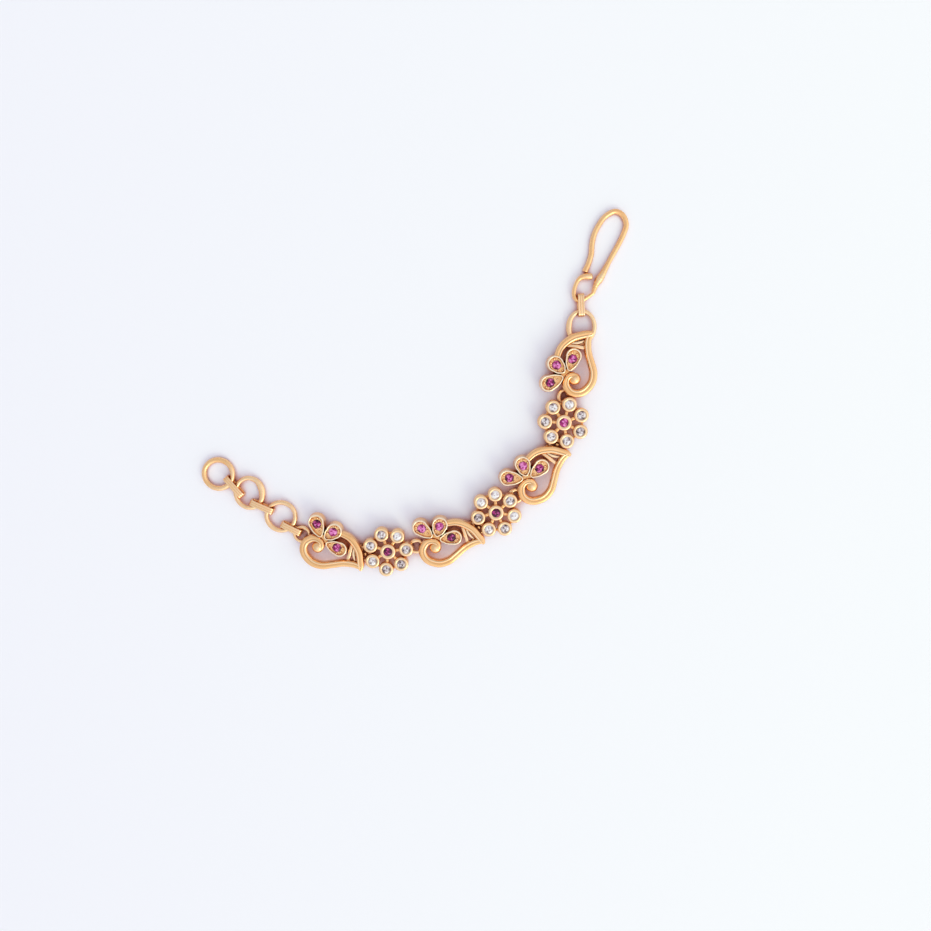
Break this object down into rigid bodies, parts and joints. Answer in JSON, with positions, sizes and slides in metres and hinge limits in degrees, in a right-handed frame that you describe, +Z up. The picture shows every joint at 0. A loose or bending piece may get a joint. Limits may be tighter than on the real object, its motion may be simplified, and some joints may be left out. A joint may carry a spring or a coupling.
{
  "type": "ear chain",
  "caption": "Flat ear chain of linked paisley and flower motifs set with clear and red stones, with a wire hook at one end and extension rings at the other.",
  "frame": {"origin": "centre of the bounding box, on the table that the chain lies on", "axes": "+X along the longer side of the lying chain, towards the hook; +Y from the flowers' row up to the hook's bend; +Z up, out of the stones' tables"},
  "size_m": [0.0934, 0.0798, 0.0036],
  "materials": {
    "gold": "satin",
    "ruby": "faceted, polished",
    "clear_stone": "faceted, polished"
  },
  "bodies": {
    "root": {"ear_hook": "gold", "oval_ring": "gold", "extension_ring_1": "gold", "extension_ring_2": "gold", "extension_ring_3": "gold", "strip_link_1": "gold", "strip_link_2": "gold", "strip_link_3": "gold", "strip_link_4": "gold", "jump_ring_1": "gold", "jump_ring_2": "gold", "jump_ring_3": "gold", "jump_ring_4": "gold", "jump_ring_5": "gold", "jump_ring_6": "gold", "jump_ring_7": "gold", "paisley_1": "gold", "paisley_2": "gold", "paisley_3": "gold", "paisley_4": "gold", "flower_1": "gold", "flower_2": "gold", "flower_3": "gold", "petal_ruby_1": "ruby", "petal_ruby_2": "ruby", "petal_ruby_3": "ruby", "petal_ruby_4": "ruby", "petal_ruby_5": "ruby", "petal_ruby_6": "ruby", "petal_ruby_7": "ruby", "petal_ruby_8": "ruby", "petal_ruby_9": "ruby", "petal_ruby_10": "ruby", "petal_ruby_11": "ruby", "petal_ruby_12": "ruby", "clear_stone_1": "clear_stone", "clear_stone_2": "clear_stone", "clear_stone_3": "clear_stone", "clear_stone_4": "clear_stone", "clear_stone_5": "clear_stone", "clear_stone_6": "clear_stone", "clear_stone_7": "clear_stone", "clear_stone_8": "clear_stone", "clear_stone_9": "clear_stone", "clear_stone_10": "clear_stone", "clear_stone_11": "clear_stone", "clear_stone_12": "clear_stone", "clear_stone_13": "clear_stone", "clear_stone_14": "clear_stone", "clear_stone_15": "clear_stone", "clear_stone_16": "clear_stone", "clear_stone_17": "clear_stone", "clear_stone_18": "clear_stone", "clear_stone_19": "clear_stone", "clear_stone_20": "clear_stone", "clear_stone_21": "clear_stone", "flower_ruby_1": "ruby", "flower_ruby_2": "ruby", "flower_ruby_3": "ruby"}
  },
  "joints": []
}
